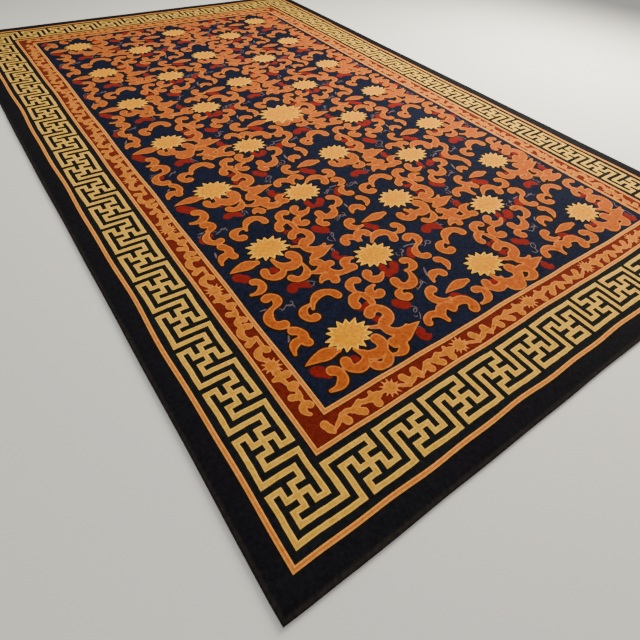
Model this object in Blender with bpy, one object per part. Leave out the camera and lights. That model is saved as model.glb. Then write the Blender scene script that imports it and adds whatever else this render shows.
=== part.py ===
"""Chinese art deco rug: one hand-knotted wool carpet with a thick cut pile, lying flat on a floor.

Metres, +Z up. The origin is under the middle of the rug, on the floor. X runs across the rug
and Y along it. The back is flat. The pile on top rises and falls a little, as wool does that has
been walked on, and the outline wanders by a few millimetres, as it does on a hand loom.
"""
import math

import bmesh
import bpy

# Driving sizes
RUG_WIDTH = 3.05
RUG_LENGTH = 4.88
PILE_TOP = 0.0130           # back to the tips of the pile
PILE_SWELL = 0.0012         # how far the pile rises and falls from that
EDGE_WANDER = 0.0070        # how far the outline strays in from a straight line
CELL = 0.125                # largest spacing of the surface points
CREASE_ANGLE = 60           # degrees: a sharper fold than this keeps a hard edge

# The overcast edge in section, from the pile down to the floor.
# Columns: how far out from the outermost pile point (metres), height as a share of the full height
EDGE_SECTION = (
    (0.0035, 0.93),
    (0.0060, 0.76),
    (0.0068, 0.45),
    (0.0060, 0.16),
    (0.0040, 0.00),
)
EDGE_OUT = max(out for out, share in EDGE_SECTION)

# Waves of the outline along one side. Columns: full waves in the side, share of the wander, phase.
# Each side starts them a step further on, so that no two sides are alike.
SIDE_STEP = 1.7
OUTLINE_WAVES = (
    (2, 0.45, 0.6),
    (3, 0.35, 2.1),
    (7, 0.20, 4.0),
)

# Waves of the pile's height. Columns: waves across, waves along, share of the swell, phase
PILE_WAVES = (
    (1.0, 2.0, 0.40, 0.3),
    (3.0, 1.0, 0.30, 1.9),
    (2.0, 5.0, 0.20, 3.7),
    (5.0, 4.0, 0.10, 5.2),
)

WOOL_NAVY = (0.022, 0.026, 0.052, 1.0)
WOOL_ROUGHNESS = 0.92


def clear_scene():
    for obj in list(bpy.data.objects):
        bpy.data.objects.remove(obj, do_unlink=True)


def wander(along, side):
    """How far the outline lies in from straight, at a share along one of the four sides."""
    wave = 0.0
    for count, share, phase in OUTLINE_WAVES:
        wave += share * math.cos(2 * math.pi * count * along + phase + SIDE_STEP * side)
    return EDGE_WANDER * (1 - wave) / 2


def pile_height(across, along):
    """Height of the pile at shares of the width and length."""
    wave = 0.0
    for waves_x, waves_y, share, phase in PILE_WAVES:
        wave += share * math.sin(math.pi * waves_x * across + phase) * math.cos(math.pi * waves_y * along)
    return PILE_TOP + PILE_SWELL * wave


def pile_point(across, along):
    """A point of the pile, with the outline's wander fading out towards the middle."""
    left = wander(along, 0) * (1 - across)
    right = wander(along, 1) * across
    near = wander(across, 2) * (1 - along)
    far = wander(across, 3) * along
    x = (across - 0.5) * (RUG_WIDTH - 2 * EDGE_OUT) + left - right
    y = (along - 0.5) * (RUG_LENGTH - 2 * EDGE_OUT) + near - far
    return x, y, pile_height(across, along)


def rim_of(grid):
    """The grid's outer points in order, counter-clockwise, each with the way that points out there."""
    last_x, last_y = len(grid) - 1, len(grid[0]) - 1
    near = [(i, 0) for i in range(last_x)]
    right = [(last_x, j) for j in range(last_y)]
    far = [(i, last_y) for i in range(last_x, 0, -1)]
    left = [(0, j) for j in range(last_y, 0, -1)]
    rim = []
    for i, j in near + right + far + left:
        out_x = (i == last_x) - (i == 0)
        out_y = (j == last_y) - (j == 0)
        length = math.hypot(out_x, out_y)
        rim.append((grid[i][j], out_x / length, out_y / length))
    return rim


def centre_on_floor(mesh):
    """Puts the origin under the middle of the outline's box."""
    xs = [vert.co.x for vert in mesh.verts]
    ys = [vert.co.y for vert in mesh.verts]
    middle_x = (min(xs) + max(xs)) / 2
    middle_y = (min(ys) + max(ys)) / 2
    for vert in mesh.verts:
        vert.co.x -= middle_x
        vert.co.y -= middle_y


def make_rug():
    """The whole rug as one closed solid: pile, rounded overcast edge and flat back."""
    mesh = bmesh.new()
    columns = math.ceil(RUG_WIDTH / CELL)
    rows = math.ceil(RUG_LENGTH / CELL)
    grid = []
    for i in range(columns + 1):
        grid.append([mesh.verts.new(pile_point(i / columns, j / rows)) for j in range(rows + 1)])
    for i in range(columns):
        for j in range(rows):
            mesh.faces.new((grid[i][j], grid[i + 1][j], grid[i + 1][j + 1], grid[i][j + 1]))

    rim = rim_of(grid)
    upper = [top for top, out_x, out_y in rim]
    for out, share in EDGE_SECTION:
        lower = []
        for top, out_x, out_y in rim:
            lower.append(mesh.verts.new((top.co.x + out * out_x, top.co.y + out * out_y, top.co.z * share)))
        for k in range(len(rim)):
            following = (k + 1) % len(rim)
            mesh.faces.new((upper[k], lower[k], lower[following], upper[following]))
        upper = lower
    mesh.faces.new(list(reversed(upper)))

    centre_on_floor(mesh)
    bmesh.ops.recalc_face_normals(mesh, faces=mesh.faces)
    data = bpy.data.meshes.new("rug")
    mesh.to_mesh(data)
    mesh.free()
    data.shade_smooth()
    data.set_sharp_from_angle(angle=math.radians(CREASE_ANGLE))
    rug = bpy.data.objects.new("rug", data)
    bpy.context.scene.collection.objects.link(rug)
    return rug


def wool_material():
    material = bpy.data.materials.new("navy wool pile")
    material.use_nodes = True
    shader = material.node_tree.nodes["Principled BSDF"]
    shader.inputs["Base Color"].default_value = WOOL_NAVY
    shader.inputs["Roughness"].default_value = WOOL_ROUGHNESS
    shader.inputs["Metallic"].default_value = 0.0
    return material


clear_scene()
make_rug().data.materials.append(wool_material())
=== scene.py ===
# %% [markdown]
# # A Chinese art deco rug, dressed in wool
#
# The real rug is one piece of hand-knotted wool. Every colour is a change of yarn in the same
# pile, and a shallow groove is clipped round each motif, so that it stands a little proud. The
# lesson builds it the same way round: first the plain navy pile, then the bands, the fret, the
# field and the vine, each as a thin skin of coloured pile whose edge slopes into the groove.

import math
from functools import partial

import bpy
import numpy as np
from mathutils import Matrix
from mathutils.geometry import delaunay_2d_cdt


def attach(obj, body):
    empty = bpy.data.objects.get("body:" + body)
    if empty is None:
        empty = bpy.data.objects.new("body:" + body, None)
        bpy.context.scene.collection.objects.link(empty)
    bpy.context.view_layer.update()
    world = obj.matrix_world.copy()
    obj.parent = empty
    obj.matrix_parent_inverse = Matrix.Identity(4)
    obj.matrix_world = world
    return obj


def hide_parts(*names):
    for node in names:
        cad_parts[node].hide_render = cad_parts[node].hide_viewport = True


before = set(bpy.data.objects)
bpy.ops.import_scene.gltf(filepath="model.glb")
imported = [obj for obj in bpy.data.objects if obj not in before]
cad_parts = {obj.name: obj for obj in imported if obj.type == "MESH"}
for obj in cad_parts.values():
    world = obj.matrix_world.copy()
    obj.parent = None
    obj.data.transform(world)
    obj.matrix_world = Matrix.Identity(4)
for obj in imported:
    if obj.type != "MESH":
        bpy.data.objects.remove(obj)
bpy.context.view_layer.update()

# %% [markdown]
# ## The camera
#
# The straight borders of a rug in a photograph meet at vanishing points, and those give the
# lens, the three angles and the height. The camera is built from its own three directions,
# which is safer than turning it about one axis after another.

# %% Camera
LENS_PIXELS = 453.1                 # distance to the picture plane, for a picture 640 wide
YAW, PITCH, ROLL = (math.radians(a) for a in (51.28, 48.42, 4.72))
CAMERA_PLACE = (-1.606, -2.588, 1.381)


def make_camera():
    flat = math.cos(PITCH)
    forward = np.array((math.cos(YAW) * flat, math.sin(YAW) * flat, -math.sin(PITCH)))
    level = np.array((math.sin(YAW), -math.cos(YAW), 0.0))
    upright = np.cross(level, forward)
    right = math.cos(ROLL) * level + math.sin(ROLL) * upright
    up = math.cos(ROLL) * upright - math.sin(ROLL) * level
    data = bpy.data.cameras.new("camera")
    data.sensor_width = 36.0
    data.lens = 36.0 * LENS_PIXELS / 640
    data.clip_start = 0.05
    camera = bpy.data.objects.new("camera", data)
    turned = Matrix(np.column_stack((right, up, -forward)).tolist()).to_4x4()
    camera.matrix_world = Matrix.Translation(CAMERA_PLACE) @ turned
    bpy.context.scene.collection.objects.link(camera)
    bpy.context.scene.camera = camera
    return camera


print("lens in mm:", round(make_camera().data.lens, 2))

# %% [markdown]
# ## The plan and the real rug
#
# All drawing is done on a straight plan with its middle at zero. A hand-made rug is never quite
# straight, so one function lays each point of the plan on the real rug, with its wandering
# outline and slow swell. Every piece goes through it, so they all stay together.

# %% Sizes of the rug, in metres
RUG_WIDTH = 3.05
RUG_LENGTH = 4.88
PILE_TOP = 0.0130
PILE_SWELL = 0.0012
EDGE_WANDER = 0.0070
SIDE_STEP = 1.7

# Columns: how far out from the outermost pile point, height as a share of the full height
EDGE_SECTION = ((0.0035, 0.93), (0.0060, 0.76), (0.0068, 0.45), (0.0060, 0.16), (0.0040, 0.00))
EDGE_OUT = max(out for out, share in EDGE_SECTION)

# Columns: full waves in the side, share of the wander, phase
OUTLINE_WAVES = ((2, 0.45, 0.6), (3, 0.35, 2.1), (7, 0.20, 4.0))

# Columns: waves across, waves along, share of the swell, phase
PILE_WAVES = (
    (1.0, 2.0, 0.40, 0.3),
    (3.0, 1.0, 0.30, 1.9),
    (2.0, 5.0, 0.20, 3.7),
    (5.0, 4.0, 0.10, 5.2),
)


def wander(along, side):
    """How far the outline lies in from straight, at a share along one of the four sides."""
    wave = 0.0
    for count, share, phase in OUTLINE_WAVES:
        wave = wave + share * np.cos(2 * np.pi * count * along + phase + SIDE_STEP * side)
    return EDGE_WANDER * (1 - wave) / 2


def unshifted(across, along):
    """Places and heights on the pile at shares of the width and length."""
    wave = 0.0
    for waves_x, waves_y, share, phase in PILE_WAVES:
        rise = np.sin(np.pi * waves_x * across + phase) * np.cos(np.pi * waves_y * along)
        wave = wave + share * rise
    x = (across - 0.5) * (RUG_WIDTH - 2 * EDGE_OUT)
    x = x + wander(along, 0) * (1 - across) - wander(along, 1) * across
    y = (along - 0.5) * (RUG_LENGTH - 2 * EDGE_OUT)
    y = y + wander(across, 2) * (1 - along) - wander(across, 3) * along
    return x, y, PILE_TOP + PILE_SWELL * wave


def middle_of_outline():
    """Middle of the wandering outline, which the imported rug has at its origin."""
    share = np.linspace(0, 1, 400)
    left, right = unshifted(0 * share, share)[0], unshifted(0 * share + 1, share)[0]
    near, far = unshifted(share, 0 * share)[1], unshifted(share, 0 * share + 1)[1]
    return (left.min() + right.max()) / 2, (near.min() + far.max()) / 2


MIDDLE_X, MIDDLE_Y = middle_of_outline()


def lay(plan, lift):
    """Points of the straight plan, laid on the rug and lifted above its pile."""
    across = plan[:, 0] / (RUG_WIDTH - 2 * EDGE_OUT) + 0.5
    along = plan[:, 1] / (RUG_LENGTH - 2 * EDGE_OUT) + 0.5
    x, y, z = unshifted(across, along)
    return np.column_stack((x - MIDDLE_X, y - MIDDLE_Y, z + lift))


print("outline's middle:", MIDDLE_X, MIDDLE_Y)

# %% [markdown]
# ## Wool, as one node group
#
# Cut pile shows tufts a few millimetres across, the fine rows in which they were knotted, and
# slow bands of lighter and darker yarn where a dye lot ended. All the yarns share these, so
# they are one node group, and each yarn's material mixes its own two tones by the group's mask.

# %% Helpers for node trees


def put(tree, kind, settings=(), **inputs):
    """Adds a node. An input is called by its name, or by i and its number; it takes a value or a socket."""
    node = tree.nodes.new(kind)
    for key, value in dict(settings).items():
        setattr(node, key, value)
    for key, value in inputs.items():
        socket = node.inputs[int(key[1:])] if key[1:].isdigit() else node.inputs[key.replace("_", " ")]
        if isinstance(value, bpy.types.NodeSocket):
            tree.links.new(value, socket)
        else:
            socket.default_value = value
    return node


def math_node(tree, operation, a, b=0.0):
    return put(tree, "ShaderNodeMath", {"operation": operation}, i0=a, i1=b).outputs[0]


def weighted(tree, *parts):
    """Sum of values, each times its weight."""
    total = 0.0
    for value, weight in parts:
        total = math_node(tree, "ADD", total, math_node(tree, "MULTIPLY", value, weight))
    return total


def remap(tree, value, low, high, to_low=0.0, to_high=1.0):
    """Stretches a value from one range to another, and holds it there."""
    node = put(tree, "ShaderNodeMapRange", {"clamp": True}, i0=value, i1=low, i2=high, i3=to_low, i4=to_high)
    return node.outputs["Result"]


def noise(tree, place, scale, detail=2.0, roughness=0.5):
    node = put(tree, "ShaderNodeTexNoise", Vector=place, Scale=scale, Detail=detail, Roughness=roughness)
    return node.outputs["Fac"]


def new_group(name, takes, gives):
    """A node group that works on numbers. Columns of takes: name, usual value."""
    tree = bpy.data.node_groups.new(name, "ShaderNodeTree")
    for label, usual in takes:
        socket = tree.interface.new_socket(label, in_out="INPUT", socket_type="NodeSocketFloat")
        socket.default_value = usual
    for label in gives:
        tree.interface.new_socket(label, in_out="OUTPUT", socket_type="NodeSocketFloat")
    return tree, tree.nodes.new("NodeGroupInput").outputs, tree.nodes.new("NodeGroupOutput").inputs


# %% The group for cut wool pile
TUFT = 0.0042                       # size of one tuft
ROW = 0.0030                        # spacing of the knotted rows


def wool_group():
    takes = (("Tuft size", TUFT), ("Speckle", 0.5), ("Abrash", 0.5))
    tree, given, out = new_group("cut wool pile", takes, ("Tone", "Height", "Roughness"))
    place = put(tree, "ShaderNodeTexCoord").outputs["Object"]
    fineness = math_node(tree, "DIVIDE", 1.0, given["Tuft size"])
    tufts = put(tree, "ShaderNodeTexVoronoi", {"feature": "SMOOTH_F1"}, Vector=place, Scale=fineness)
    tufts.inputs["Smoothness"].default_value = 0.6
    dome = math_node(tree, "SUBTRACT", 1.0, tufts.outputs["Distance"])
    waves = put(tree, "ShaderNodeTexWave", {"bands_direction": "Y", "wave_profile": "SIN"}, Vector=place)
    pitch = 2 * math.pi / ROW / 20
    for label, value in (("Scale", pitch), ("Distortion", 2.2), ("Detail", 2.0), ("Detail Scale", 1.2)):
        waves.inputs[label].default_value = value
    rows = waves.outputs["Fac"]
    fuzz = noise(tree, place, 620.0, 3.0, 0.65)
    speckle = noise(tree, place, 150.0, 2.0, 0.6)
    mottle = noise(tree, place, 62.0)
    lie = noise(tree, place, 7.0, 3.0)
    stretch = put(tree, "ShaderNodeMapping", Vector=place, Scale=(0.35, 5.5, 1.0)).outputs["Vector"]
    dye = noise(tree, stretch, 1.6, 3.0, 0.55)
    slow = math_node(tree, "SUBTRACT", weighted(tree, (dye, 0.6), (lie, 0.4)), 0.5)
    quick = weighted(tree, (speckle, 0.5), (dome, 0.15), (rows, 0.1), (mottle, 1.0))
    quick = math_node(tree, "SUBTRACT", quick, 0.87)
    tone = weighted(tree, (slow, given["Abrash"]), (quick, given["Speckle"]))
    tree.links.new(remap(tree, tone, -0.5, 0.5), out["Tone"])
    tree.links.new(weighted(tree, (dome, 0.6), (fuzz, 0.4), (rows, 0.3)), out["Height"])
    tree.links.new(remap(tree, fuzz, 0.2, 0.8, 0.82, 0.98), out["Roughness"])
    return tree


WOOL = wool_group()
print("wool group takes", [s.name for s in WOOL.interface.items_tree if s.in_out == "INPUT"])

# %% [markdown]
# ## One material for each dye
#
# A yarn is two tones of one dye. Sheen makes it look like wool: fibres that stand up catch
# light that comes in low, so the far part of a big rug looks paler than the part at one's
# feet. It is set on the shader's own socket.

# %% Materials for the yarns
COOL = (0.62, 0.70, 1.0)             # colour of the sheen on dark yarns
WARM = (1.0, 0.84, 0.40)             # and on the others


def linear(*dye):
    """A dye as seen on a screen, from 0 to 255, turned into the light values that a shader takes."""
    shares = [value / 255 for value in dye]
    return (*(c / 12.92 if c < 0.0404 else ((c + 0.055) / 1.055) ** 2.4 for c in shares), 1.0)


def blend_dyes(tree, mask, below, above):
    return put(tree, "ShaderNodeMix", {"data_type": "RGBA"}, i0=mask, i6=below, i7=above).outputs[2]


def yarn(name, deep, light, speckle=1.3, abrash=0.6, sheen=0.10, tint=WARM, edge=None):
    """Wool of one dye, from its deep tone to its light one. edge adds more dyes near the rug's edge."""
    material = bpy.data.materials.new(name)
    material.use_nodes = True
    tree = material.node_tree
    shader = tree.nodes["Principled BSDF"]
    wool = put(tree, "ShaderNodeGroup", {"node_tree": WOOL}, Speckle=speckle, Abrash=abrash).outputs
    colour = blend_dyes(tree, wool["Tone"], linear(*deep), linear(*light))
    if edge:
        colour = edge(tree, colour, wool["Tone"])
    tree.links.new(colour, shader.inputs["Base Color"])
    tree.links.new(wool["Roughness"], shader.inputs["Roughness"])
    bump = put(tree, "ShaderNodeBump", Height=wool["Height"], Strength=0.55, Distance=0.0022)
    tree.links.new(bump.outputs["Normal"], shader.inputs["Normal"])
    shader.inputs["Specular IOR Level"].default_value = 0.03
    shader.inputs["Sheen Weight"].default_value = sheen
    shader.inputs["Sheen Roughness"].default_value = 0.45
    shader.inputs["Sheen Tint"].default_value = (*tint, 1.0)
    return material


def edge_distance(tree, place):
    """How far a point lies in from the nearest side of the rug."""
    apart = put(tree, "ShaderNodeSeparateXYZ", Vector=place).outputs
    across = math_node(tree, "SUBTRACT", RUG_WIDTH / 2, math_node(tree, "ABSOLUTE", apart["X"]))
    along = math_node(tree, "SUBTRACT", RUG_LENGTH / 2, math_node(tree, "ABSOLUTE", apart["Y"]))
    return math_node(tree, "MINIMUM", across, along)


def border_dyes(tree, field_colour, tone):
    """The outer band is a browner, darker wool than the field, and the overcast edge is worn pale."""
    place = put(tree, "ShaderNodeTexCoord").outputs["Object"]
    inward = edge_distance(tree, place)
    charcoal = blend_dyes(tree, tone, linear(9, 9, 13), linear(24, 22, 27))
    worn = blend_dyes(tree, tone, linear(20, 18, 19), linear(44, 39, 37))
    ink = blend_dyes(tree, tone, linear(10, 11, 14), linear(25, 27, 31))
    patches = remap(tree, noise(tree, place, 1.1), 0.42, 0.60, 0.0, 0.7)
    margin = blend_dyes(tree, remap(tree, inward, 0.40, 0.42), ink, field_colour)
    outer = blend_dyes(tree, patches, charcoal, ink)
    inner = blend_dyes(tree, remap(tree, inward, 0.090, 0.096), outer, margin)
    return blend_dyes(tree, remap(tree, inward, 0.014, 0.024), worn, inner)


NAVY = yarn("navy wool", (6, 8, 17), (24, 29, 51), sheen=0.0, tint=COOL, edge=border_dyes)
# The two dark outline yarns colour the ring at each motif's foot, down in the groove: partly outline yarn,
# partly painted shade in the groove.
OUTLINE_AND_GROOVE_SHADE = yarn("dark brown outline wool and painted groove shade", (20, 9, 4), (42, 22, 11), abrash=0.2, sheen=0.02, tint=COOL)
OLIVE_OUTLINE_AND_GROOVE_SHADE = yarn("dark olive outline wool and painted groove shade", (24, 18, 7), (48, 36, 14), abrash=0.2, sheen=0.02, tint=COOL)
GOLD = yarn("gold fret wool", (160, 112, 22), (212, 164, 60), sheen=0.20, tint=(1.0, 0.90, 0.62))
# A pale edge yarn colours a motif's rounded shoulder: a painted highlight where the rim catches the light.
GOLD_EDGE_HIGHLIGHT = yarn("pale gold wool for a painted edge highlight", (188, 142, 50), (220, 180, 88), abrash=0.3)
STAR = yarn("gold star wool", (170, 96, 2), (216, 148, 10))
# Painted highlight on the stars' shoulders.
STAR_EDGE_HIGHLIGHT = yarn("pale star wool for a painted edge highlight", (200, 132, 26), (232, 180, 62), abrash=0.3)
ORANGE = yarn("orange scroll wool", (124, 48, 12), (172, 86, 30))
# Painted highlight on the scrolls' shoulders.
ORANGE_EDGE_HIGHLIGHT = yarn("pale orange wool for a painted edge highlight", (152, 74, 22), (196, 114, 46), abrash=0.3)
TAN = yarn("tan stripe wool", (180, 112, 42), (216, 152, 74), abrash=0.4)
RUST = yarn("rust stripe wool", (158, 80, 28), (194, 110, 50), abrash=0.4)
RED = yarn("red band wool", (70, 13, 9), (106, 31, 18), sheen=0.03)
CRIMSON = yarn("crimson leaf wool", (82, 12, 12), (126, 27, 23), abrash=0.3, sheen=0.03)
# The dark crimson ring at each leaf's edge: partly darker yarn, partly painted shade in the groove.
CRIMSON_EDGE_AND_GROOVE_SHADE = yarn("dark crimson edge wool and painted groove shade", (38, 11, 20), (66, 18, 25), abrash=0.3, sheen=0.04, tint=COOL)
VINE = yarn("ochre vine wool", (144, 76, 16), (188, 114, 38))
# Painted highlight on the vine's shoulders.
VINE_EDGE_HIGHLIGHT = yarn("pale vine wool for a painted edge highlight", (168, 92, 36), (206, 130, 64), abrash=0.3)
MAUVE = yarn("mauve tendril wool", (70, 56, 66), (114, 96, 98), abrash=0.2, sheen=0.04, tint=COOL)
print("yarns:", len([m for m in bpy.data.materials if "wool" in m.name]))

# %% [markdown]
# ## The rug itself
#
# This piece stands for the imported solid: foundation, pile and overcast edge in one closed
# shape. A grid makes the pile, rings of points roll it down to the floor, and one flat face
# closes the back.

# %% Body of the rug
GRID = 0.0625


def make_piece(name, points, faces, materials, slots=None):
    mesh = bpy.data.meshes.new(name)
    mesh.from_pydata(np.asarray(points).tolist(), [], faces)
    for material in materials:
        mesh.materials.append(material)
    if slots is not None:
        mesh.polygons.foreach_set("material_index", np.asarray(slots, dtype=np.int32))
    mesh.update()
    mesh.shade_smooth()
    piece = bpy.data.objects.new(name, mesh)
    bpy.context.scene.collection.objects.link(piece)
    return piece


def rug_body():
    columns, rows = math.ceil(RUG_WIDTH / GRID), math.ceil(RUG_LENGTH / GRID)
    shares = np.linspace(0, 1, columns + 1), np.linspace(0, 1, rows + 1)
    across, along = np.meshgrid(*shares, indexing="ij")
    x, y, z = unshifted(across.ravel(), along.ravel())
    points = [tuple(p) for p in np.column_stack((x - MIDDLE_X, y - MIDDLE_Y, z))]
    number = np.arange(len(points)).reshape(columns + 1, rows + 1)
    around = (number[:-1, :-1], number[1:, :-1], number[1:, 1:], number[:-1, 1:])
    faces = np.stack(around, axis=-1).reshape(-1, 4).tolist()
    rounds = [(i, 0) for i in range(columns)] + [(columns, j) for j in range(rows)]
    rounds += [(columns - i, rows) for i in range(columns)] + [(0, rows - j) for j in range(rows)]
    rim = []
    for i, j in rounds:
        out = np.array(((i == columns) * 1.0 - (i == 0), (j == rows) * 1.0 - (j == 0)))
        rim.append((int(number[i, j]), out / np.hypot(*out)))
    upper = [k for k, out in rim]
    for outward, share in EDGE_SECTION:
        lower = []
        for k, out in rim:
            top = points[k]
            lower.append(len(points))
            points.append((top[0] + outward * out[0], top[1] + outward * out[1], top[2] * share))
        for k in range(len(rim)):
            following = (k + 1) % len(rim)
            faces.append((upper[k], lower[k], lower[following], upper[following]))
        upper = lower
    faces.append(tuple(reversed(upper)))
    return make_piece("rug_body", points, faces, [NAVY])


body = rug_body()
print("rug_body faces:", len(body.data.polygons))

# %% [markdown]
# ## Stripes and the red band
#
# A band is a set of nested rectangles, each a closed line of points at one distance from the
# rug's edge and at one height, with faces between neighbours. Two slow waves shift it from side
# to side, as the weaver's hand did. The outermost lines dip under the pile, so nothing floats.

# %% Bands round the rug
MM = 0.001
STEP = 0.04
SUNK = -0.2                         # how far a skin's edge dips under the pile, in millimetres


def ring_line(inward, lean, seed):
    """Plan points of one rectangle that lies inward metres from the rug's edge."""
    half_x, half_y = RUG_WIDTH / 2 - inward, RUG_LENGTH / 2 - inward
    corners = ((-half_x, -half_y), (half_x, -half_y), (half_x, half_y), (-half_x, half_y))
    points = []
    for side in range(4):
        start, end = np.array(corners[side]), np.array(corners[(side + 1) % 4])
        count = int((RUG_WIDTH if side % 2 == 0 else RUG_LENGTH) / STEP)
        share = np.arange(count) / count
        fade = np.minimum(1.0, np.minimum(share, 1 - share) * 12)
        wave = np.sin(share * (23 + 3 * side) + seed + side) + 0.7 * np.sin(share * (57 + side) + 2 * seed)
        way = (end - start) / np.linalg.norm(end - start)
        side_way = np.array((-way[1], way[0]))
        points.append(start + share[:, None] * (end - start) + (lean * wave * fade)[:, None] * side_way)
    return np.concatenate(points)


def band(name, lines, yarns, slots, lean=0.0012, seed=0.0):
    """Joins nested rectangles. Columns of lines: distance in from the edge and lift, in millimetres."""
    points, faces, face_slots = [], [], []
    for distance, lift in lines:
        points.append(lay(ring_line(distance * MM, lean, seed), lift * MM))
    count = len(points[0])
    for k in range(len(lines) - 1):
        for n in range(count):
            m = (n + 1) % count
            faces.append((k * count + n, k * count + m, (k + 1) * count + m, (k + 1) * count + n))
            face_slots.append(slots[k])
    return make_piece(name, np.concatenate(points), faces, yarns, face_slots)


# Half of a stripe's section. Columns: distance in from its edge and lift, in millimetres
STRIPE_PROFILE = ((-3.0, SUNK), (0.0, 0.9), (2.0, 1.5), (5.5, 1.6))


def stripe(name, outer, inner, seed, lean):
    """A stripe with tan edges and a rust middle, between two distances from the rug's edge."""
    lines = [(outer + inward, lift) for inward, lift in STRIPE_PROFILE]
    lines += [(inner - inward, lift) for inward, lift in reversed(STRIPE_PROFILE)]
    # The stripe's outermost rings take the dark outline yarn: partly outline yarn, partly painted shade in
    # the groove.
    return band(name, lines, [OUTLINE_AND_GROOVE_SHADE, TAN, RUST], (0, 1, 1, 2, 1, 1, 0), lean * MM, seed)


# Columns: name, where it starts and ends in millimetres from the rug's edge, its own wave, and
# how far that wave leans to either side, in millimetres
STRIPES = (
    ("outer_stripe", 86, 103, 0.4, 2.6),
    ("middle_stripe", 331, 348, 2.2, 1.2),
    ("field_stripe", 436, 455, 4.1, 1.2),
)
skins = [stripe(*row) for row in STRIPES]
skins.append(band("red_band", ((340, 0.1), (350, 0.15), (440, 0.15)), [RED], (0, 0)))
print("bands:", [(s.name, len(s.data.polygons)) for s in skins])

# %% [markdown]
# ## The key fret
#
# The fret is a traditional running figure on squared paper: nine rows high and ten columns
# over and over, with a turn at each corner and in the middle of each short side. It is charted
# cell by cell, as a weaver does, and a rule says which cell of the chart each cell of the border
# takes. Only a gold cell's open sides get a sloping edge, so bars run on without a seam.

# %% Chart of the fret
FRET_REPEAT = (
    ".#########",
    ".#.......#",
    ".#.###.###",
    ".#.#.#.#..",
    ".#.#.#####",
    ".#.#...#.#",
    "##.#.###.#",
    "...#.#....",
    "####.#####",
)
# In the middle of a short side the figure closes after eight columns
FRET_TURN = [row[:8] for row in FRET_REPEAT]
FRET_TURN[1] = ".#.....#"
# The corner, from its far row down to the row at the rug's edge
FRET_CORNER = (
    "###.###.#",
    "#.#.#...#",
    "#.#####.#",
    "#...#.#.#",
    "#.###.###",
    "#.#......",
    "#.#######",
    "#........",
    "#########",
)
FRET_ROWS = 9
FRET_ACROSS, FRET_ALONG = 133, 219
FRET_BAND_X = (0.1275, 0.3035)       # its outer and inner line on the long sides, in from the rug's edge
FRET_BAND_Y = (0.1305, 0.3065)       # and on the short sides


def fret_is_gold(i, j):
    """Whether a cell of the border is gold. Each quarter of the rug mirrors the next."""
    i, j = min(i, FRET_ACROSS - 1 - i), min(j, FRET_ALONG - 1 - j)
    if i >= FRET_ROWS and j >= FRET_ROWS:
        return False
    if i < FRET_ROWS and j < FRET_ROWS:
        return FRET_CORNER[8 - j][i] == "#"
    if j < FRET_ROWS:
        column = i - FRET_ROWS
        turn_from = FRET_ACROSS // 2 - FRET_ROWS - len(FRET_TURN[0]) + 1
        if column >= turn_from:
            return FRET_TURN[8 - j][column - turn_from] == "#"
        return FRET_REPEAT[8 - j][column % 10] == "#"
    return FRET_REPEAT[8 - i][(13 - j) % 10] == "#"


def fret_lines(count, half, between):
    """Places of the chart's lines across the rug, closer together inside the border's own width."""
    outer = -half + np.linspace(*between, FRET_ROWS + 1)
    middle = np.linspace(outer[-1], -outer[-1], count - 2 * FRET_ROWS + 1)
    return np.concatenate((outer[:-1], middle, -outer[:-1][::-1]))


def rough(values, seed, size):
    """Small repeatable unevenness, the same for the same place."""
    return size * (np.sin(values * 12.9898 + seed * 78.233) * 43758.5453 % 1.0 - 0.5)


# Columns: how far the bar's edge is moved out and how high it lies, in millimetres
FRET_PROFILE = ((3.4, SUNK), (-0.7, 0.9), (-2.4, 1.5), (-5.2, 1.6))


def make_fret():
    lines_x = fret_lines(FRET_ACROSS, RUG_WIDTH / 2, FRET_BAND_X)
    lines_y = fret_lines(FRET_ALONG, RUG_LENGTH / 2, FRET_BAND_Y)
    gold = {(i, j) for i in range(FRET_ACROSS) for j in range(FRET_ALONG) if fret_is_gold(i, j)}
    numbers, plan, lifts, faces, slots = {}, [], [], [], []

    def corner(i, j, level):
        """The chart's corner (i, j), moved away from the gold cells that meet there."""
        if (i, j, level) in numbers:
            return numbers[i, j, level]
        pull = np.zeros(2)
        for di, dj in ((0, 0), (-1, 0), (0, -1), (-1, -1)):
            if (i + di, j + dj) in gold:
                pull += (2 * di + 1, 2 * dj + 1)
        out, lift = FRET_PROFILE[level]
        x = lines_x[i] - out * MM * np.sign(pull[0]) + rough(i * 1.7 + j * 0.31, 1, 0.0016)
        y = lines_y[j] - out * MM * np.sign(pull[1]) + rough(j * 1.3 + i * 0.47, 2, 0.0016)
        x += 0.0012 * math.sin(lines_y[j] * 9) + 0.0009 * math.sin(lines_y[j] * 31 + 1)
        y += 0.0012 * math.sin(lines_x[i] * 8) + 0.0009 * math.sin(lines_x[i] * 29 + 2)
        numbers[i, j, level] = len(plan)
        plan.append((x, y))
        lifts.append(lift if np.any(pull) else FRET_PROFILE[-1][1])
        return numbers[i, j, level]

    top = len(FRET_PROFILE) - 1
    for i, j in sorted(gold):
        ring = ((i, j), (i + 1, j), (i + 1, j + 1), (i, j + 1))
        faces.append([corner(*at, top) for at in ring])
        slots.append(2)
        for k, (di, dj) in enumerate(((0, -1), (1, 0), (0, 1), (-1, 0))):
            if (i + di, j + dj) in gold:
                continue
            a, b = ring[k], ring[(k + 1) % 4]
            for level in range(top):
                ends = (a, level), (b, level), (b, level + 1), (a, level + 1)
                faces.append([corner(*at, height) for at, height in ends])
                # Ring 0, in the groove, takes the dark olive yarn, partly painted groove shade; the shoulder
                # takes pale gold, a painted highlight.
                slots.append(0 if level == 0 else 1)
    points = lay(np.array(plan), np.array(lifts) * MM)
    return make_piece("fret", points, faces, [OLIVE_OUTLINE_AND_GROOVE_SHADE, GOLD_EDGE_HIGHLIGHT, GOLD], slots)


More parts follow.
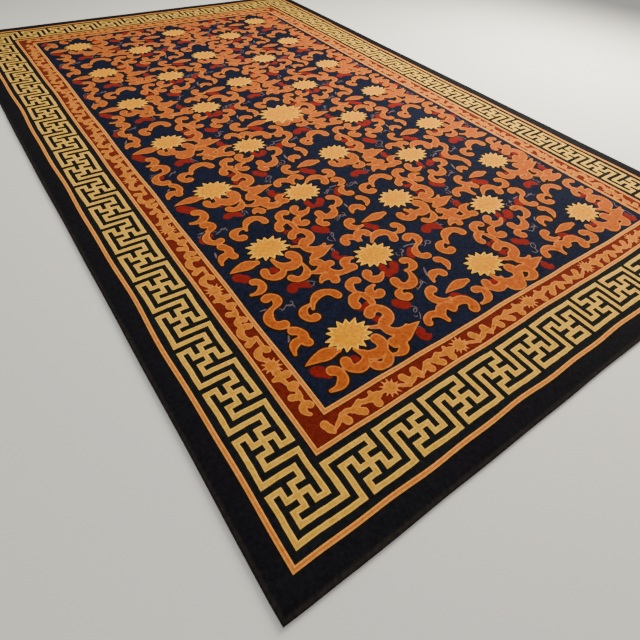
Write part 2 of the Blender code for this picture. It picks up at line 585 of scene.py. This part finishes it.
skins.append(make_fret())
print("fret faces:", len(skins[-1].data.polygons))

# %% [markdown]
# ## Drawing curls on squared paper
#
# The scrolls, leaves and flowers are brush shapes: a line that swells and tightens into a hook.
# Bevelled curves would only overlap where two curls meet, and the rug shows one soft, webbed
# form there. So each line is drawn on squared paper as a distance field: every crossing stores
# how far it lies from the nearest edge. Shapes join by blending their distances, and any
# outline, inside or outside the edge, is a contour of the same field.

# %% The squared paper


class Paper:
    """Distances to the edge of what is drawn; inside is negative. All in metres."""

    def __init__(self, left, right, near, far, step):
        self.left, self.near, self.step = left, near, step
        self.x = np.arange(left, right, step)
        self.y = np.arange(near, far, step)
        self.d = np.full((len(self.y), len(self.x)), 1.0)

    def window(self, path, reach):
        low = ((path.min(axis=0) - reach - (self.left, self.near)) / self.step).astype(int)
        high = ((path.max(axis=0) + reach - (self.left, self.near)) / self.step).astype(int) + 2
        (a, c), (b, d) = np.maximum(low, 0), np.maximum(high, 0)
        return slice(c, d), slice(a, b)

    def draw(self, path, width, blend=0.008):
        """Adds a brush line: a path of points and the brush's width at each."""
        rows, columns = self.window(path, width.max() / 2 + 0.02)
        gx, gy = np.meshgrid(self.x[columns], self.y[rows])
        if not gx.size:
            return
        stroke = np.full(gx.shape, 1.0)
        for k in range(len(path) - 1):
            ax, ay = path[k]
            bx, by = path[k + 1] - path[k]
            share = np.clip(((gx - ax) * bx + (gy - ay) * by) / max(bx * bx + by * by, 1e-12), 0, 1)
            radius = (width[k] + share * (width[k + 1] - width[k])) / 2
            stroke = np.minimum(stroke, np.hypot(gx - ax - share * bx, gy - ay - share * by) - radius)
        self.join(rows, columns, stroke, blend)

    def join(self, rows, columns, shape, blend):
        """Adds a shape to what is there, with a soft web where they meet."""
        there = self.d[rows, columns]
        share = np.clip(0.5 + 0.5 * (there - shape) / blend, 0, 1)
        self.d[rows, columns] = there + (shape - there) * share - blend * share * (1 - share)

    def disc(self, x, y, half_x, half_y):
        """Adds an oval."""
        rows, columns = self.window(np.array([(x, y)]), max(half_x, half_y) + 0.02)
        gx, gy = np.meshgrid(self.x[columns], self.y[rows])
        oval = (np.hypot((gx - x) / half_x, (gy - y) / half_y) - 1) * min(half_x, half_y)
        self.join(rows, columns, oval, 0.004)

    def at(self, points):
        """The stored distance at any points, between the crossings."""
        u = np.clip((points[:, 0] - self.left) / self.step, 0, len(self.x) - 1.001)
        v = np.clip((points[:, 1] - self.near) / self.step, 0, len(self.y) - 1.001)
        i, j = u.astype(int), v.astype(int)
        u, v = u - i, v - j
        lower = self.d[j, i] * (1 - u) + self.d[j, i + 1] * u
        upper = self.d[j + 1, i] * (1 - u) + self.d[j + 1, i + 1] * u
        return lower * (1 - v) + upper * v


# %% [markdown]
# ## From distances to outlines
#
# Marching squares walks over the paper cell by cell. A small table says, from which of a cell's
# corners are inside, by which sides the outline enters and leaves. The pieces are threaded into
# closed loops, and points on nearly straight runs are dropped.

# %% Marching squares

# For each pattern of inside corners (1 near left, 2 near right, 4 far right, 8 far left), the
# sides that the outline runs from and to (0 near, 1 right, 2 far, 3 left), inside on its left
CROSSINGS = {
    1: ((0, 3),), 2: ((1, 0),), 3: ((1, 3),), 4: ((2, 1),), 5: ((0, 3), (2, 1)),
    6: ((2, 0),), 7: ((2, 3),), 8: ((3, 2),), 9: ((0, 2),), 10: ((1, 0), (3, 2)),
    11: ((1, 2),), 12: ((3, 1),), 13: ((0, 1),), 14: ((3, 0),),
}


def side_points(paper, level, j, i, side):
    """Number and place of the outline's crossing with one side of each cell."""
    d = paper.d - level
    rows, columns = d.shape
    from_j, from_i = (j + (side == 2), i + (side == 1))
    upward = side in (1, 3)
    to_j, to_i = (from_j + 1, from_i) if upward else (from_j, from_i + 1)
    a, b = d[from_j, from_i], d[to_j, to_i]
    share = a / (a - b)
    x = paper.left + paper.step * (from_i + (0 if upward else share))
    y = paper.near + paper.step * (from_j + (share if upward else 0))
    return (from_j * columns + from_i) * 2 + upward, x, y


def outlines(paper, level):
    """Closed loops of points where the distance equals level."""
    inside = paper.d < level
    pattern = (inside[:-1, :-1] * 1 + inside[:-1, 1:] * 2 + inside[1:, 1:] * 4 + inside[1:, :-1] * 8)
    place, follows = {}, {}
    for code, runs in CROSSINGS.items():
        j, i = np.nonzero(pattern == code)
        for start, end in runs:
            number_a, xa, ya = side_points(paper, level, j, i, start)
            number_b, xb, yb = side_points(paper, level, j, i, end)
            place.update(zip(number_a.tolist(), zip(xa.tolist(), ya.tolist())))
            follows.update(zip(number_a.tolist(), number_b.tolist()))
    loops = []
    while follows:
        at, following = follows.popitem()
        loop = [place[at]]
        while following in follows:
            loop.append(place[following])
            following = follows.pop(following)
        if len(loop) > 5:
            loops.append(np.array(loop))
    return loops


def thin_out(loop, slack=0.00035):
    """Drops points of a closed loop that lie within slack of the line between kept ones."""
    count = len(loop)
    keep = np.zeros(count, bool)
    far = int(np.argmax(np.hypot(*(loop - loop[0]).T)))
    closed = np.vstack((loop, loop[:1]))
    keep[[0, far]] = True
    todo = [(0, far), (far, count)]
    while todo:
        a, b = todo.pop()
        if b - a < 2:
            continue
        way = closed[b] - closed[a]
        length = max(np.hypot(*way), 1e-9)
        off = closed[a + 1:b] - closed[a]
        apart = np.abs(off[:, 0] * way[1] - off[:, 1] * way[0]) / length
        worst = int(np.argmax(apart))
        if apart[worst] > slack or b - a > 8:
            worst = worst if apart[worst] > slack else (b - a) // 2 - 1
            keep[(a + 1 + worst) % count] = True
            todo += [(a, a + 1 + worst), (a + 1 + worst, b)]
    return loop[keep]


# %% [markdown]
# ## From outlines to a skin of pile
#
# Several contours of one drawing make a small relief: the outermost dips under the pile, the
# next is the foot of the motif, and then come its rounded shoulder and its top. Triangles are
# stretched between all of them, and each takes its yarn from the distance at its middle.

# %% Skins from a drawing


def skin(name, paper, profile, yarns, slots, place=lambda plan: plan):
    """Columns of profile: distance from the motif's edge (out is positive) and lift, in millimetres."""
    points, lifts, edges = [], [], []
    for distance, lift in profile:
        for loop in outlines(paper, distance * MM):
            loop = thin_out(loop)
            if len(loop) < 3:
                continue
            start = len(points)
            points += loop.tolist()
            lifts += [lift] * len(loop)
            edges += [(start + k, start + (k + 1) % len(loop)) for k in range(len(loop))]
    made, _, faces, came_from, _, _ = delaunay_2d_cdt(points, edges, [], 1, 1e-7)
    plan = np.array([tuple(p) for p in made])
    height = np.array([lifts[origin[0]] if origin else 1.0 for origin in came_from])
    faces = np.array([f for f in faces if len(f) == 3])
    depth = paper.at(plan[faces].mean(axis=1)) / MM
    faces, depth = faces[depth < profile[0][0]], depth[depth < profile[0][0]]
    levels = np.array([distance for distance, lift in profile])
    ring = (depth[:, None] < levels[None, :]).sum(axis=1) - 1
    used, renumbered = np.unique(faces, return_inverse=True)
    faces = renumbered.reshape(-1, 3)
    points = lay(place(plan[used]), height[used] * MM)
    return make_piece(name, points, faces.tolist(), yarns, np.array(slots)[ring])


# %% [markdown]
# ## A curl
#
# One formula makes every hook. The line sets out from its root and turns faster and faster, like
# a fern. It is then turned and scaled to end where the chart wants the bulb. The brush is thin
# at the root, full by the middle and round at the end; a flame leaf's brush ends in a point.

# %% Brush lines
TIGHTEN = 1.5
STEPS = 22


def curl_path(root, end, turn, steps=STEPS):
    """Points from root to end along a line that turns through turn degrees, faster and faster."""
    share = np.linspace(0, 1, steps)
    heading = np.radians(turn) * share ** TIGHTEN
    way = np.exp(1j * (heading[1:] + heading[:-1]) / 2)
    path = np.concatenate(([0], np.cumsum(way)))
    path = complex(*root) + path * (complex(*end) - complex(*root)) / path[-1]
    return np.column_stack((path.real, path.imag))


def ease(share, full_at):
    """Rises softly from 0 to 1, which it reaches at full_at."""
    rise = np.clip(share / full_at, 0, 1)
    return rise * rise * (3 - 2 * rise)


def swelling(full, root=0.38, steps=STEPS):
    """Brush widths of a curl: thin root, full belly, slight neck and round bulb."""
    share = np.linspace(0, 1, steps)
    neck = 1 - 0.14 * np.exp(-((share - 0.72) / 0.12) ** 2)
    return full * (root + (1 - root) * ease(share, 0.5)) * neck


def comma(full):
    """A leaf brush: it starts in a tail and ends in a round bulb."""
    return swelling(full, 0.15)


def flame(full, root=0.5, steps=STEPS):
    """Brush widths of a flame leaf: full near its root and pointed at its tip."""
    share = np.linspace(0, 1, steps)
    fall = np.clip((1 - share) / 0.6, 0, 1) ** 0.8
    return full * np.maximum((root + (1 - root) * ease(share, 0.35)) * fall, 0.06)


# %% [markdown]
# ## The chart of the field
#
# The field is a lattice of star flowers with scrolls that sprout from them. A weaver charts one
# small repeat and knots it again and again, and so does this lesson: two star columns by two
# star rows. One line of the chart is one curl.

# %% Scroll chart of one repeat, in centimetres from the rug's middle
REPEAT_X, REPEAT_Y = 80.0, 59.0     # two columns and two rows of flowers

# Columns: start x, start y, bulb x, bulb y, turn in degrees, width
CURLS = (
    (-56.5, -67.3, -62.3, -61, -205, 5.0),
    (-58, -86, -61, -80.3, -200, 5.0),
    (-50, -81.5, -52.8, -87, 200, 5.2),
    (-52.5, -101.8, -54, -107.3, 220, 5.0),
    (-44.8, -98, -50.8, -93.5, -200, 5.2),
    (-35, -103, -31, -95.8, 200, 4.6),
    (-34.5, -102.5, -43.8, -105, -190, 5.4),
    (-44, -109, -45.2, -114, 190, 4.6),
    (-31, -66, -33.5, -58.5, -190, 5.0),
    (-40, -75, -46.8, -71, 175, 4.6),
    (-39.2, -75.5, -32.8, -71.5, -180, 5.0),
    (-34, -77.8, -24.3, -81.8, -185, 5.6),
    (-21, -79, -16.3, -72.5, 190, 4.8),
    (-18, -89.8, -18, -84, 215, 5.0),
    (-16.5, -90.5, -17.3, -99.3, 170, 4.8),
    (-17.3, -112, -17.5, -103.5, 110, 4.6),
    (-28, -114, -21.8, -112, -165, 4.6),
    (-0.5, -68.5, -8.8, -68, -190, 5.0),
    (-3, -98.5, 9.3, -96.5, -165, 5.0),
    (-2.5, -97, -6, -102.5, 215, 4.8),
    (9.5, -60.3, 14.5, -54.5, 265, 5.2),
    (-2.2, -65.5, 7.5, -66.5, 215, 6.4),
    (7.5, -73.5, 0, -77.8, -150, 4.6),
    (8, -80.5, 12.8, -75.5, 210, 5.2),
    (8.3, -87, 13.6, -88, -160, 4.6),
    (17.5, -102, 22.3, -95.3, -165, 4.8),
    (19, -102.5, 12.3, -106, 120, 5.0),
    (17.5, -101.5, 19, -110.5, -40, 3.6),
)

# Flame leaves, the same columns with the tip in place of the bulb
FLAMES = (
    (-54, -87.5, -65, -88.3, 0, 4.0),
    (-15, -62.5, -29.5, -62.8, 20, 6.5),
    (13.5, -72, 29, -70, -20, 7.0),
)

# Dark red leaves, the same columns as the curls
RED_LEAVES = (
    (-50.5, -78.5, -54.5, -75.5, -200, 4.8),
    (-60, -107, -66.5, -109, -60, 4.4),
    (-42.5, -91, -43, -98.5, 10, 4.8),
    (-42, -99, -36.3, -96.3, 60, 5.8),
    (-29.5, -63.5, -24.5, -70, 20, 6.4),
    (3, -88.5, -5, -84.5, 130, 6.2),
    (-2, -75.5, -5.5, -70, 10, 5.0),
    (-25.5, -98.5, -22.5, -92.5, -70, 6.0),
    (-53, -112, -49, -117.5, 60, 6.4),
    (13, -115, 17.5, -119, 60, 5.6),
)
print("charted:", len(CURLS), "curls,", len(FLAMES), "flame leaves,", len(RED_LEAVES), "red leaves")

# %% [markdown]
# ## Repeating the chart over the field
#
# The repeat is laid side by side across and along the rug. A curl that would run a little way
# into the border is moved in, and one further out is left off. Each is shifted, turned and
# widened by a hair, by seeded random numbers, because no two were knotted alike.

# %% Places of every curl
CM = 0.01
FULLNESS = 0.89                     # of the charted brush widths
ROOM_X, ROOM_Y = 103.0, 194.0       # how far from the rug's middle a curl may start or end
NUDGE = 9.5                         # how far a curl is moved in at most
ACROSS, ALONG = range(-1, 3), range(-2, 6)      # repeats across and along, from the charted one
SLIP, TURN_SLIP, WIDTH_SLIP = 0.6, 9.0, 0.06    # unevenness in centimetres, degrees and shares


def moved_in(a, b, room):
    """Two values moved together towards zero, so that neither lies past room, or None if too far."""
    over = max(abs(a), abs(b)) - room
    if over > NUDGE:
        return None
    shift = math.copysign(max(over, 0.0), a + b)
    return a - shift, b - shift


def whole_field(chart, seed):
    """Every curl of the field, in metres, from the chart of one repeat."""
    spread = np.random.default_rng(seed)
    rows = []
    for k in ALONG:
        for m in ACROSS:
            for x0, y0, x1, y1, turn, width in chart:
                slips = spread.normal(0, 1, 6)
                x0, x1 = (x + m * REPEAT_X + SLIP * slip for x, slip in ((x0, slips[0]), (x1, slips[1])))
                y0, y1 = (y + k * REPEAT_Y + SLIP * slip for y, slip in ((y0, slips[2]), (y1, slips[3])))
                across, along = moved_in(x0, x1, ROOM_X), moved_in(y0, y1, ROOM_Y)
                if across and along:
                    places = [v * CM for v in (across[0], along[0], across[1], along[1])]
                    width = width * (1 + WIDTH_SLIP * slips[5]) * CM
                    rows.append((*places, turn + TURN_SLIP * slips[4], width))
    return rows


def draw_chart(paper, chart, brush, seed, blend=0.008):
    for x0, y0, x1, y1, turn, width in whole_field(chart, seed):
        paper.draw(curl_path((x0, y0), (x1, y1), turn), brush(width * FULLNESS), blend)


FIELD_INSET = 0.457                 # the field starts this far in from the rug's edge


def field_paper(step):
    half_x, half_y = RUG_WIDTH / 2 - FIELD_INSET, RUG_LENGTH / 2 - FIELD_INSET
    return Paper(-half_x, half_x, -half_y, half_y, step)


scroll_paper, red_paper = field_paper(0.004), field_paper(0.005)
draw_chart(scroll_paper, CURLS, swelling, 11)
draw_chart(scroll_paper, FLAMES, flame, 12)
draw_chart(red_paper, RED_LEAVES, comma, 13, blend=0.010)
print("share of the field in orange:", round(float((scroll_paper.d < 0).mean()), 3))

# %% [markdown]
# ## Star flowers
#
# A star is an oval with fifteen short rays: brush lines that end in a point, on the same kind of
# paper as the scrolls. The star at the rug's middle is half as big again.

# %% Stars of the field
STAR_COLUMNS, STAR_ROWS = 5, 13
COLUMN_PITCH, ROW_PITCH = 0.400, 0.295
EVEN_SHIFT = 0.028                  # how far the even rows lie towards the far end
STRAYS = {2: 0.032, 3: 0.014}       # and how far two rows stray, where the weaver's count slipped
STAR_HALF = (0.1005, 0.079)
STAR_RAYS = 15
BIG_STAR = 1.55


def star_places():
    """Middle and size of every star of the field."""
    places = []
    for row in range(STAR_ROWS):
        for column in range(STAR_COLUMNS):
            if (row + column) % 2:
                continue
            x = (column - STAR_COLUMNS // 2) * COLUMN_PITCH
            y = (row - STAR_ROWS // 2) * ROW_PITCH + (EVEN_SHIFT if row % 2 else 0.0) + STRAYS.get(row, 0.0)
            in_middle = (row, column) == (STAR_ROWS // 2, STAR_COLUMNS // 2)
            places.append((x, y, BIG_STAR if in_middle else 1.0))
    return places


def draw_star(paper, x, y, half_x, half_y, rays, spread, inner=0.72, thin=1.0):
    paper.disc(x, y, half_x * inner, half_y * inner)
    start = spread.uniform(0, 2 * math.pi / rays)
    for ray in range(rays):
        angle = start + 2 * math.pi * ray / rays + spread.normal(0, 0.035)
        way = np.array((math.cos(angle) * half_x, math.sin(angle) * half_y))
        reach = spread.normal(1.03, 0.035)
        path = np.array((x, y)) + np.linspace(0.5, reach, 5)[:, None] * way
        full = 2 * math.pi / rays * math.hypot(half_x, half_y) / 1.9 * thin
        paper.draw(path, full * np.array((1.25, 1.1, 0.85, 0.5, 0.12)), 0.003)


star_paper = field_paper(0.0032)
stars = star_places()
star_spread = np.random.default_rng(5)
for x, y, size in stars:
    draw_star(star_paper, x, y, STAR_HALF[0] * size, STAR_HALF[1] * size, STAR_RAYS, star_spread)
print("stars:", len(stars))

# %% Skins of the field

# Distance from the motif's edge and lift, in millimetres, from the outline in to the top
SCROLL_PROFILE = ((10.0, SUNK), (0.0, 0.9), (-2.0, 1.5), (-6.5, 1.7))
STAR_PROFILE = ((5.0, SUNK), (0.0, 1.2), (-2.0, 1.9), (-6.5, 2.1))
LEAF_PROFILE = ((1.5, SUNK), (-4.0, 0.4), (-10.0, 0.6))

# In each skin the foot ring's dark yarn is partly painted shade in the groove, and a pale shoulder yarn,
# where there is one, is a painted highlight.
skins.append(skin("red_leaves", red_paper, LEAF_PROFILE, [CRIMSON_EDGE_AND_GROOVE_SHADE, CRIMSON], (0, 1, 1)))
skins.append(skin("scrolls", scroll_paper, SCROLL_PROFILE, [OUTLINE_AND_GROOVE_SHADE, ORANGE_EDGE_HIGHLIGHT, ORANGE], (0, 1, 1, 2)))
skins.append(skin("field_stars", star_paper, STAR_PROFILE, [OUTLINE_AND_GROOVE_SHADE, STAR_EDGE_HIGHLIGHT, STAR], (0, 1, 1, 2)))
print("field skins:", [(s.name, len(s.data.polygons)) for s in skins[-3:]])

# %% [markdown]
# ## Tendrils
#
# Fine mauve tendrils fill the gaps. They are two or three knots wide, so a ribbon of three lines
# of points, high in the middle and sunk at both sides, is enough.

# %% Tendrils

# Columns: middle x, middle y, direction in degrees, size, in centimetres
TENDRILS = (
    (-12, -91.5, 10, 7),
    (4, -84, 100, 6),
    (-49, -64.5, 60, 7),
    (-28, -91, 30, 6),
    (-36, -112, 20, 7),
    (-55, -74, 100, 6),
)

# Single pale lines, in the curls' columns
STROKES = (
    (-26.5, -105, -28.8, -110.5, 20, 1.4),
    (-24, -88.5, -16, -91, -40, 0.9),
)

# One tendril, for a size of 1. Columns: start x, start y, end x, end y, turn
TENDRIL_LINES = (
    (-0.5, -0.12, 0.1, 0.0, 30),
    (0.0, 0.0, 0.4, 0.16, 190),
    (-0.05, 0.0, 0.32, -0.28, -150),
    (-0.3, -0.08, -0.22, 0.2, -170),
)


def tendril_rows(strokes, tendrils):
    """The tendrils as single lines, in the curls' columns."""
    rows = list(strokes)
    for x, y, direction, size in tendrils:
        c, s = math.cos(math.radians(direction)), math.sin(math.radians(direction))
        for x0, y0, x1, y1, turn in TENDRIL_LINES:
            start = (x + size * (c * x0 - s * y0), y + size * (s * x0 + c * y0))
            end = (x + size * (c * x1 - s * y1), y + size * (s * x1 + c * y1))
            rows.append((*start, *end, turn, 0.6))
    return rows


RIBBON_STEPS = 14


def ribbons(name, rows, material, lift):
    points, lifts, faces = [], [], []
    for x0, y0, x1, y1, turn, width in rows:
        path = curl_path((x0, y0), (x1, y1), turn, RIBBON_STEPS)
        way = np.gradient(path, axis=0)
        way = way / np.hypot(*way.T)[:, None]
        side = np.column_stack((-way[:, 1], way[:, 0]))
        half = width / 2 * np.sqrt(np.clip(1.15 - np.linspace(-1, 1, RIBBON_STEPS) ** 2, 0, 1))[:, None]
        start = len(points) * RIBBON_STEPS
        for line, height in ((path - side * half, SUNK), (path, lift), (path + side * half, SUNK)):
            points.append(line)
            lifts.append(np.full(RIBBON_STEPS, height))
        for a in range(start, start + RIBBON_STEPS - 1):
            b, c = a + RIBBON_STEPS, a + 2 * RIBBON_STEPS
            faces += [(b, b + 1, a + 1, a), (c, c + 1, b + 1, b)]
    return make_piece(name, lay(np.concatenate(points), np.concatenate(lifts) * MM), faces, [material])


skins.append(ribbons("tendrils", whole_field(tendril_rows(STROKES, TENDRILS), 14), MAUVE, 0.5))
print("tendril faces:", len(skins[-1].data.polygons))

# %% [markdown]
# ## The vine
#
# A wavy stem with lobed leaves runs round the red band from star to star. One length is charted
# for the short sides and one for the long ones, and stretched to each gap. At a corner the vine
# stops part of the way through, as it does on the rug.

# %% Chart of the vine between two stars

# Columns: start along, start up, end along, end up, turn, width, in cm; up is towards the field.
# The vine of the short sides, whose arches stand with their backs to the field
SHORT_VINE = (
    (2.5, 0.0, 8.3, -3.0, 15, 1.7),
    (7.8, -2.8, 15.1, 0.9, 40, 2.5),
    (9.7, -2.1, 7.9, 1.0, 0, 3.4),
    (16.1, -2.7, 14.9, 1.1, 0, 3.4),
    (16.5, -2.5, 22.2, 1.1, 10, 1.9),
    (21.8, 1.2, 26.9, 0.0, -40, 2.2),
    (21.5, 0.4, 22.6, -2.1, 0, 3.4),
    (25.8, -0.3, 30.1, 1.5, 0, 2.7),
    (26.6, 0.0, 29.5, -2.4, 0, 3.3),
    (29.8, 1.1, 34.0, 0.3, 0, 2.3),
    (35.8, 2.5, 35.8, -2.6, 0, 3.5),
    (33.0, 0.2, 37.6, 0.2, 0, 3.3),
    (36.8, 0.2, 41.4, 0.2, 0, 1.8),
)
SHORT_VINE_LENGTH = 43.5

# The vine of the long sides, whose arches stand with their backs to the edge
LONG_VINE = (
    (3.0, 0.0, 7.6, 2.4, 210, 3.4),
    (8.0, 1.9, 14.8, 2.0, 0, 1.8),
    (15.1, 1.5, 13.3, -2.3, 0, 3.2),
    (15.0, -0.4, 21.5, 2.4, 175, 3.4),
    (22.2, 0.6, 25.4, 2.6, 210, 3.1),
    (26.8, 1.2, 30.2, 1.6, 30, 1.8),
    (29.9, 1.7, 31.1, -1.3, 0, 3.1),
    (29.9, 2.0, 33.6, 1.8, 0, 1.9),
    (33.2, 1.6, 35.0, 2.7, 220, 3.1),
    (36.1, 0.6, 39.2, -0.1, 0, 2.0),
    (40.6, -2.8, 40.6, 2.7, 0, 3.6),
    (38.4, 0.0, 43.0, 0.0, 0, 3.2),
)
LONG_VINE_LENGTH = 46.5

VINE_INSET = 0.3935                 # middle of the red band, in from the rug's edge
VINE_STAR = 0.042
VINE_FULLNESS = 0.98
VINE_STAR_RAYS = 11

# Places of the vine's stars along a short and a long side. The first gaps are drawn one way round
# and the others the other way, as they are on the rug
SHORT_STARS = (-82.2, -46, -2, 41, 82.2)
LONG_STARS = (-173.3, -127, -78.6, -29, 22, 73, 124, 173.3)
TURNS_AT = 2
SHORT_HALF, LONG_HALF = 111.5, 202.0


def vine_rows(unit, length, stars, half):
    """The chart stretched from star to star along one side, in metres on a straight line."""
    ends = list(zip(stars[:-1], stars[1:]))
    gaps = [(a, b, 0.0) if k < TURNS_AT else (b, a, 0.0) for k, (a, b) in enumerate(ends)]
    gaps.append((stars[0] - length, stars[0], length - (stars[0] + half)))
    gaps.append((stars[-1] + length, stars[-1], length - (half - stars[-1])))
    rows = []
    for a, b, start in gaps:
        scale = (b - a) / length
        for s0, v0, s1, v1, turn, width in unit:
            if min(s0, s1) >= start:
                ends_at = (a + s0 * scale) * CM, v0 * CM, (a + s1 * scale) * CM, v1 * CM
                rows.append((*ends_at, math.copysign(turn, turn * scale), width * CM))
    return rows


def draw_vine():
    """One squared paper for each side: the near one, the right one, and their mirror images."""
    spread = np.random.default_rng(8)
    short = vine_rows(SHORT_VINE, SHORT_VINE_LENGTH, SHORT_STARS, SHORT_HALF)
    long = vine_rows(LONG_VINE, LONG_VINE_LENGTH, LONG_STARS, LONG_HALF)
    short = short, SHORT_STARS, RUG_LENGTH / 2 - VINE_INSET
    long = long, LONG_STARS, RUG_WIDTH / 2 - VINE_INSET
    papers = []
    for side in range(4):
        rows, stars, middle = (short, long)[side % 2]
        mirror = 1 if side < 2 else -1
        reach = max(abs(row[2]) for row in rows) + 0.05
        paper = Paper(-reach, reach, -0.046, 0.046, 0.0026)
        for s0, v0, s1, v1, turn, width in rows:
            path = curl_path((s0 * mirror, v0), (s1 * mirror, v1), turn * mirror, 12)
            paper.draw(path, swelling(width * VINE_FULLNESS, 0.5, 12), 0.004)
        for s in stars:
            draw_star(paper, s * CM * mirror, 0.0, VINE_STAR, VINE_STAR, VINE_STAR_RAYS, spread, 0.60, 0.46)
        papers.append((side, middle, paper))
    return papers


def turned_to_side(plan, side, middle):
    """Turns a straight length of vine to one of the four sides; up is towards the field."""
    s, v = plan[:, 0], plan[:, 1] - middle
    return np.column_stack(((s, v), (-v, s), (-s, -v), (v, -s))[side])


VINE_PROFILE = ((3.5, SUNK), (0.0, 0.8), (-1.8, 1.3), (-4.5, 1.5))
for side, middle, paper in draw_vine():
    place = partial(turned_to_side, side=side, middle=middle)
    # The vine's shoulder ring takes the pale vine yarn, a painted highlight.
    skins.append(skin(f"vine_{side + 1}", paper, VINE_PROFILE, [RED, VINE_EDGE_HIGHLIGHT, VINE], (0, 1, 1, 2), place))
print("vine faces:", [len(s.data.polygons) for s in skins[-4:]])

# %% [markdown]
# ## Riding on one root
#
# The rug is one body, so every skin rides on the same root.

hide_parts("rug")
for piece in [body, *skins]:
    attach(piece, "root")
corners = [len(face.vertices) for piece in [body, *skins] for face in piece.data.polygons]
print("pieces:", 1 + len(skins), "triangles:", sum(corners) - 2 * len(corners))

# %% [markdown]
# ## Floor and light
#
# A pale floor and soft lamps, as in a plain studio. The main lamp hangs low beyond the far
# right of the rug, so that the pile there catches its light at a shallow angle and looks paler.

# %% Stage


def make_stage():
    mesh = bpy.data.meshes.new("floor")
    mesh.from_pydata([(-20, -20, 0), (20, -20, 0), (20, 20, 0), (-20, 20, 0)], [], [(0, 1, 2, 3)])
    floor = bpy.data.objects.new("floor", mesh)
    bpy.context.scene.collection.objects.link(floor)
    plain = bpy.data.materials.new("pale floor")
    plain.use_nodes = True
    shader = plain.node_tree.nodes["Principled BSDF"]
    grain = put(plain.node_tree, "ShaderNodeTexNoise", Scale=3.0, Detail=2.0)
    tone = put(plain.node_tree, "ShaderNodeValToRGB", Fac=grain.outputs["Fac"])
    tone.color_ramp.elements[0].color = (0.60, 0.59, 0.575, 1)
    tone.color_ramp.elements[1].color = (0.66, 0.65, 0.635, 1)
    plain.node_tree.links.new(tone.outputs["Color"], shader.inputs["Base Color"])
    shader.inputs["Roughness"].default_value = 0.8
    mesh.materials.append(plain)


# Columns: name, place, point it faces, size, power, colour
LAMPS = (
    ("key lamp", (3.1, -0.3, 2.3), (0.8, -0.9, 0.0), 2.4, 410.0, (1.0, 0.94, 0.76)),
    ("fill lamp", (-2.4, -3.6, 3.4), (0.0, -1.0, 0.0), 3.0, 28.0, (1.0, 0.96, 0.90)),
    ("far lamp", (0.0, 1.5, 2.6), (0.0, 0.6, 0.0), 2.6, 56.0, (1.0, 0.95, 0.80)),
)


def make_lamps():
    for name, place, target, size, power, colour in LAMPS:
        data = bpy.data.lights.new(name, "AREA")
        data.shape = "SQUARE"
        data.size = size
        data.energy = power
        data.color = colour
        lamp = bpy.data.objects.new(name, data)
        back = np.array(place) - np.array(target)
        back = back / np.linalg.norm(back)
        side = np.cross((0, 0, 1), back)
        side = side / np.linalg.norm(side)
        turned = Matrix(np.column_stack((side, np.cross(back, side), back)).tolist()).to_4x4()
        lamp.matrix_world = Matrix.Translation(place) @ turned
        lamp.visible_camera = False
        bpy.context.scene.collection.objects.link(lamp)
    world = bpy.data.worlds.new("studio")
    world.use_nodes = True
    world.node_tree.nodes["Background"].inputs["Color"].default_value = (1.0, 0.985, 0.96, 1.0)
    world.node_tree.nodes["Background"].inputs["Strength"].default_value = 0.57
    bpy.context.scene.world = world


make_stage()
make_lamps()
